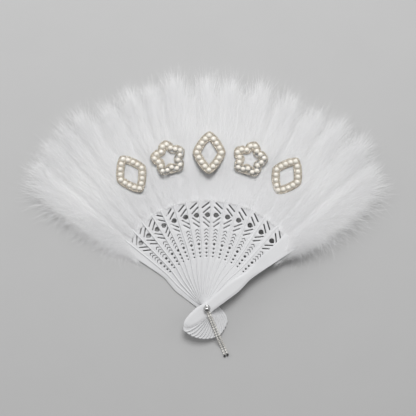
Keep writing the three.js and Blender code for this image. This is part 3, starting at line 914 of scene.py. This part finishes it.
def grown_strands(index, count, random):
    """Soft barbs along a plume, as an array of strands, stations and places in the stick's frame."""
    tufts = count // TUFT_STRANDS
    tuft = random.integers(0, tufts, count)

    def mixed(values, spread):
        """The value of each strand's tuft, with some spread."""
        return values[tuft] + random.normal(0, spread, count)

    def by_side(key):
        return np.where(outer, FRINGE[key], BARBS[key])

    # Roots
    share = mixed(random.uniform(-TUFT_ACROSS, TUFT_ACROSS, tufts), SPREAD["across"])
    share = np.clip(share, -ROOT_FARTHEST, ROOT_FARTHEST)
    across = np.abs(share)
    side = np.where(share < 0, -1, 1)
    outer = (index + side < 0) | (index + side == len(STICKS))
    way = np.clip(mixed(random.random(tufts), SPREAD["way"]), 0, 1)
    way = 1 - (1 - way) ** ROOT_CROWDING
    way = np.where(random.random(count) < ROOT_SHARE, ROOT_WAY * way, way)
    start = FLUFF_START[index] * MM
    start += np.where(outer, across * (FRINGE_START - start), 0)
    lobe = LOBE_DEPTH * across**2 * by_side("lobe")
    reach = PLUME_REACH[index] * MM
    end = reach - TIP_LENGTH - lobe
    along = start + way * (end - start) + random.normal(0, ROOT_JITTER, count)
    width = half_width(index, side, along)
    root_aside = shaft_aside(index, along) + share * width * by_side("root")

    # Directions
    fan = np.radians(np.where(outer, np.interp(way, *FRINGE_FAN), np.interp(way, *BARB_FAN)))
    loose = np.where(outer, FRINGE_LOOSE, np.interp(way, *BARB_LOOSE))
    lean = share * fan + mixed(random.normal(0, TUFT_LEAN, tufts), SPREAD["lean"]) * loose
    sideways = np.abs(np.sin(lean))

    # Lengths, which end in a soft edge at the tip and at the outer sides
    length = np.interp(way, *STRAND_LENGTH) * MM
    length = np.where(outer, np.minimum(1.05 * width / np.maximum(sideways, 0.5), length), length)
    shortest = by_side("shortest")
    varied = mixed(random.random(tufts), SPREAD["length"]) * (STRAND_LONGEST - shortest) + shortest
    length *= np.clip(varied, *STRAND_LENGTH_LIMITS)
    spare = np.minimum(random.exponential(TIP_FADE, count), TIP_SOLID + by_side("spare") * TIP_SPARE)
    room = np.maximum(reach - TIP_SOLID + spare - lobe - along, TIP_ROOM)
    length = np.minimum(length, room / np.maximum(np.cos(lean), 0.2))
    edge = FRINGE_EDGE["solid"] + random.exponential(FRINGE_EDGE["fade"], count)
    edge = np.minimum(edge, FRINGE_EDGE["farthest"]) * width
    aside_room = np.maximum(edge - np.abs(root_aside), FRINGE_ROOM)
    length = np.where(outer, np.minimum(length, aside_room / np.maximum(sideways, 0.2)), length)

    depth = strand_depth(random.random(count))
    curl = random.normal(0, 1, count) * by_side("curl") + by_side("bend") * lean
    strands = np.zeros((count, STATIONS, 3))
    strands[:, 0, 0] = root_aside
    strands[:, 0, 1] = along
    step = length / (STATIONS - 1)
    for station in range(1, STATIONS):
        heading = lean + curl * (station - 1) / 2
        strands[:, station, 0] = strands[:, station - 1, 0] + step * np.sin(heading)
        strands[:, station, 1] = strands[:, station - 1, 1] + step * np.cos(heading)
    lay_strands(strands, index, side, outer, depth)
    strands[:, 1:] += random.normal(0, STRAND_JITTER, (count, STATIONS - 1, 3))
    strands[:, :, 2] = np.maximum(strands[:, :, 2], STRAND_LOWEST)
    return strands


def fluff_mesh(name, strands, tone_with_painted_shade, random):
    """Ribbon-like strands that taper to their tips, with a map of paleness across, painted shade included,
    and way along.
    """
    count = len(strands)
    along = np.gradient(strands, axis=1)
    up = np.array([0, 0, 1]) + random.normal(0, STRAND_TWIST, (count, 1, 3))
    across = np.cross(along, np.broadcast_to(up, along.shape))
    across /= np.linalg.norm(across, axis=2, keepdims=True) + 1e-12
    half = STRAND_WIDTH / 2 * STRAND_TAPER[None, :, None]
    points = np.stack([strands - half * across, strands + half * across], 2)
    corner = np.arange(count)[:, None] * 2 * STATIONS + 2 * np.arange(STATIONS - 1)[None, :]
    faces = np.stack([corner, corner + 1, corner + 3, corner + 2], 2).reshape(-1, 4)

    mesh = bpy.data.meshes.new(name)
    mesh.from_pydata(points.reshape(-1, 3), [], faces)
    chart = np.zeros((count, STATIONS, 2, 2))
    chart[..., 0] = tone_with_painted_shade[:, None, None] * 0.97 + np.array([0, 0.03])[None, None, :]
    chart[..., 1] = (np.arange(STATIONS) / (STATIONS - 1))[None, :, None]
    facing = np.array([0, 0, 1]) + random.normal(0, STRAND_FACING, (count, STATIONS, 2, 3))
    facing /= np.linalg.norm(facing, axis=3, keepdims=True)
    mesh.shade_smooth()
    mesh.normals_split_custom_set_from_vertices(facing.reshape(-1, 3))
    layer = mesh.uv_layers.new(name="OFBake")
    layer.uv.foreach_set("vector", chart.reshape(-1, 2)[faces.ravel()].astype(np.float32).ravel())
    return linked(name, mesh)


def quill(name, index):
    """A plume's tapering shaft, which lies flat on its stick's land and then sinks into the fluff."""
    length = PLUME_REACH[index] * MM - PLUME_START
    along = PLUME_START + np.linspace(0, QUILL_SHARE, QUILL_POINTS) * length
    aside = shaft_aside(index, along)
    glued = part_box(STICKS[index])[0].z + LAND_THICKNESS + QUILL_SEAT
    sunk = np.interp(along / MM, *QUILL_SUNK)
    risen = np.interp(along / MM, *QUILL_RISE)
    level = glued + (fluff_top(index, along, aside) * sunk - glued) * risen
    curve = bpy.data.curves.new(name, "CURVE")
    curve.dimensions = "3D"
    curve.bevel_depth = QUILL_RADIUS
    curve.bevel_resolution = 2
    curve.use_fill_caps = True
    spline = add_line(curve, np.stack([aside, along, level], 1), closed=False)
    for k, point in enumerate(spline.points):
        point.radius = 1 - QUILL_TAPER * k / (QUILL_POINTS - 1)
    return made_mesh(name, curve)


def make_plumes(down, horn):
    ends = (0, len(STICKS) - 1)
    for index, stick in enumerate(STICKS):
        random = np.random.default_rng(FLUFF_SEED + index)
        count = int(STRANDS * (FRINGE_SHARE if index in ends else 1))
        place = on_stick(index, 0)
        node = f"plume_{index + 1:02d}"
        strands = grown_strands(index, count, random)
        # Random spread plus painted shade: darker for strands rooted near the sticks and near the plume's
        # tip
        tone_with_painted_shade = TONE_SPREAD * random.random(count) + np.interp(strands[:, 0, 1] / MM, *TONE_WITH_PAINTED_SHADE)
        fluff = fluff_mesh(f"{node}_down", strands, tone_with_painted_shade, random)
        fluff.data.transform(place)
        dress(fluff, stick, node, [down], smooth=0)
        shaft = quill(f"quill_{index + 1:02d}", index)
        shaft.data.transform(place)
        dress(shaft, stick, None, [horn], smooth=60)


def diamond(way):
    turn = 2 * math.pi * way
    bent = [np.sign(f(turn)) * np.abs(f(turn)) ** (2 / DIAMOND_POWER) for f in (np.cos, np.sin)]
    return np.stack([DIAMOND_HALF_WIDTH * bent[0], DIAMOND_HALF_HEIGHT * bent[1]], 1) * MM


def flower(way):
    turn = 2 * math.pi * way
    radius = FLOWER_RADIUS * (1 + FLOWER_SWELL * np.sin(PETALS * turn))
    return np.stack([radius * np.cos(turn), radius * np.sin(turn)], 1) * MM


def distances(line):
    """How far each point of a line is along it."""
    return np.concatenate([[0], np.cumsum(np.linalg.norm(np.diff(line, axis=0), axis=1))])


def even_points(loop, pitch=None, count=None):
    """Points at equal distances round a closed line."""
    ring = np.vstack([loop, loop[:1]])
    travelled = distances(ring)
    number = count or int(travelled[-1] / pitch)
    stops = np.arange(number) * travelled[-1] / number
    return np.stack([np.interp(stops, travelled, ring[:, k]) for k in (0, 1)], 1)


def moved_out(points, distance):
    """A closed line of points moved sideways, outwards where distance is positive."""
    along = np.roll(points, -1, 0) - np.roll(points, 1, 0)
    along /= np.linalg.norm(along, axis=1, keepdims=True)
    return points + distance * np.stack([along[:, 1], -along[:, 0]], 1)


def dome_master(name, cut, **sizes):
    """A ball cut flat below."""
    dome = primitive(name, bpy.ops.mesh.primitive_uv_sphere_add, **sizes)
    with editing(dome):
        bpy.ops.mesh.bisect(plane_co=(0, 0, cut), plane_no=(0, 0, 1), clear_inner=True, use_fill=True)
    return dome


def strewn(name, master, places, matrix):
    """One piece of many copies of a master, at flat places."""
    parts = [copy_of(master, matrix @ Matrix.Translation((x, y, 0))) for x, y in places]
    return joined(name, parts)


def make_patches(felt, pearl, bead):
    pearl_master = dome_master("pearl_master", 0, radius=PEARL_RADIUS, segments=20, ring_count=12)
    bead_master = dome_master("bead_master", BEAD_CUT, radius=BEAD_RADIUS, segments=8, ring_count=5)
    share = np.linspace(0, 1, MOTIF_STEPS, endpoint=False)
    for index, (node, body) in enumerate(PATCHES.items()):
        loop = diamond(share) if "diamond" in node else flower(share)
        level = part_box(node)[0].z
        turn = Matrix.Rotation(-PATCH_TURNS[index], 4, "Z")
        place = turn @ Matrix.Translation((0, PATCH_RADIUS, level))
        raised = place @ Matrix.Translation((0, 0, PATCH_BACKING))

        middle = even_points(loop, count=BAND_POINTS)
        rims = [flow(moved_out(middle, side * PATCH_BAND / 2), 5, closed=True) for side in (1, -1)]
        backing = flat_plate(f"{node}_felt", rims[0], [rims[1]], PATCH_BACKING, FELT_EDGE)
        backing.data.transform(place)
        dress(backing, body, node, [felt])

        pearls = strewn(f"{node}_pearls", pearl_master, even_points(loop, PEARL_PITCH), raised)
        dress(pearls, body, None, [pearl], smooth=60)

        lines = [flow(moved_out(middle, side * BEAD_LINE), 8, closed=True) for side in (1, -1)]
        spots = np.vstack([even_points(line, BEAD_PITCH) for line in lines])
        beads = strewn(f"{node}_beads", bead_master, spots, raised)
        dress(beads, body, None, [bead], smooth=80)
    drop(pearl_master, bead_master)


def setting_master():
    """A small eight-sided cup with a rim, and the link that joins it to the next."""
    cylinder = bpy.ops.mesh.primitive_cylinder_add
    sizes = {"vertices": 8, "radius": CUP_RADIUS, "depth": CUP_DEPTH}
    cup = primitive("cup_master", cylinder, location=(0, 0, CUP_LEVEL), **sizes)
    with editing(cup):
        bpy.ops.mesh.select_all(action="DESELECT")
    for face in cup.data.polygons:
        face.select = face.normal.z > 0.9
    select(cup)
    bpy.ops.object.mode_set(mode="EDIT")
    bpy.ops.mesh.inset(thickness=CUP_RIM)
    bpy.ops.mesh.extrude_region_move(TRANSFORM_OT_translate={"value": (0, 0, -CUP_HOLLOW)})
    bpy.ops.object.mode_set(mode="OBJECT")
    sizes = {"vertices": 6, "radius": LINK_RADIUS, "depth": STONE_PITCH, "rotation": (math.pi / 2, 0, 0)}
    link = primitive("link_master", cylinder, location=(0, STONE_PITCH / 2, LINK_LEVEL), **sizes)
    return joined("setting_master", [cup, link])


def stone_master():
    """A cut stone: a flat table over a ring of facets."""
    cone = bpy.ops.mesh.primitive_cone_add
    sizes = {"vertices": 8, "radius1": STONE_GIRDLE, "radius2": STONE_TABLE, "depth": STONE_HEIGHT}
    place = {"location": (0, 0, STONE_HEIGHT / 2), "rotation": (0, 0, math.pi / 8)}
    return primitive("stone_master", cone, **sizes, **place)


def stop_master():
    """A small bead, flat above, that ends a strand."""
    sizes = {"segments": 12, "ring_count": 8, "radius": STOP_RADIUS, "location": (0, 0, STOP_LEVEL)}
    stop = primitive("stop_master", bpy.ops.mesh.primitive_uv_sphere_add, **sizes)
    with editing(stop):
        bpy.ops.mesh.bisect(plane_co=(0, 0, STOP_CUT), plane_no=(0, 0, 1), clear_outer=True, use_fill=True)
    return stop


def strand_places(side):
    """Where the stones of a strand lie, from the ring to its end."""
    line = flow(TASSEL_LINE, 16) * MM
    travelled = distances(line)

    def reached(gone):
        return [np.interp(gone, travelled, line[:, axis]) for axis in (0, 1)]

    places = []
    for k in range(int(travelled[-1] / STONE_PITCH)):
        gone = (k + 0.5) * STONE_PITCH
        distance, level = reached(gone)
        next_distance, next_level = reached(gone + 0.5 * MM)
        slope = math.atan2(next_level - level, next_distance - distance)
        aside = side * (STRAND_SPACING + STRAND_SPREAD * gone / travelled[-1]) / 2 * MM
        place = Matrix.Rotation(TASSEL_TURN, 4, "Z") @ Matrix.Translation((aside, distance, level))
        places.append(place @ Matrix.Rotation(slope, 4, "X"))
    return places


def make_tassel(chrome, stone_finish, cup_finish, stop_finish):
    wire = circle(RING["radius"], RING["level"], RING["wire"], RING["sides"])
    loop = turned("tassel_loop", np.vstack([wire, wire[:1]]))
    dress(loop, "tassel", "tassel_ring", [chrome], smooth=60)

    setting, stone, stop = setting_master(), stone_master(), stop_master()
    setting.data.materials.append(cup_finish)
    stone.data.materials.append(stone_finish)
    stop.data.materials.append(stop_finish)
    for side, hand in ((1, "left"), (-1, "right")):
        *places, end = strand_places(side)
        parts = [copy_of(master, place) for place in places for master in (setting, stone)]
        parts.append(copy_of(stop, end))
        strand = joined(f"strand_{hand}_stones", parts)
        dress(strand, "tassel", f"tassel_strand_{hand}", smooth=20)
    drop(setting, stone, stop)


def set_stage():
    bpy.ops.object.select_all(action="DESELECT")
    bpy.ops.mesh.primitive_plane_add(size=FLOOR_SIZE, location=(0, 0, -FLOOR_GAP))
    floor = bpy.context.view_layer.objects.active
    floor.name = "floor"
    floor.data.materials.append(pale_floor())

    camera_data = bpy.data.cameras.new("camera")
    camera_data.angle = 2 * math.atan(VIEW_HALF_WIDTH / VIEW_DISTANCE)
    camera = linked("camera", camera_data)
    camera.location = CAMERA_PLACE
    bpy.context.scene.camera = camera

    def lamp(name, power, size, place, aim):
        light = bpy.data.lights.new(name, "AREA")
        light.energy = power
        light.size = size
        holder = linked(name, light)
        holder.location = place
        holder.rotation_euler = (Vector(aim) - Vector(place)).to_track_quat("-Z", "Y").to_euler()

    lamp("softbox", power=25.0, size=0.65, place=(0.12, 1.1, 1.7), aim=(0, 0.15, 0))
    lamp("window", power=1.6, size=0.5, place=(-1.1, 0.45, 0.6), aim=(0, 0.1, 0))

    world = bpy.data.worlds.new("room")
    bpy.context.scene.world = world
    world.use_nodes = True
    room = Graph(world.node_tree)
    heading = room.node("ShaderNodeTexCoord", {}, {}, "Generated")
    bright_side = {0: heading, 1: (0.1, 0.95, 0.1)}
    facing = room.node("ShaderNodeVectorMath", {"operation": "DOT_PRODUCT"}, bright_side, "Value")
    span = {"Value": facing, "From Min": -0.9, "From Max": 0.6, "To Min": 0.08, "To Max": 0.58}
    glow = room.node("ShaderNodeMapRange", {"interpolation_type": "SMOOTHSTEP"}, span)
    room.feed(world.node_tree.nodes["Background"].inputs["Strength"], glow)
    world.node_tree.nodes["Background"].inputs["Color"].default_value = (1, 1, 1, 1)
    bpy.context.scene.view_settings.view_transform = "Standard"


def main():
    set_stage()
    plastic, chrome, down = moulded_plastic(), polished_chrome(), soft_down()
    make_sticks(plastic)
    make_rivet(chrome)
    make_ribbons(satin_weave())
    make_plumes(down, quill_horn())
    make_patches(patch_felt(), cream_pearl(), champagne_bead())
    make_tassel(chrome, foiled_stone(), silver_cup(), gunmetal_stop())


main()
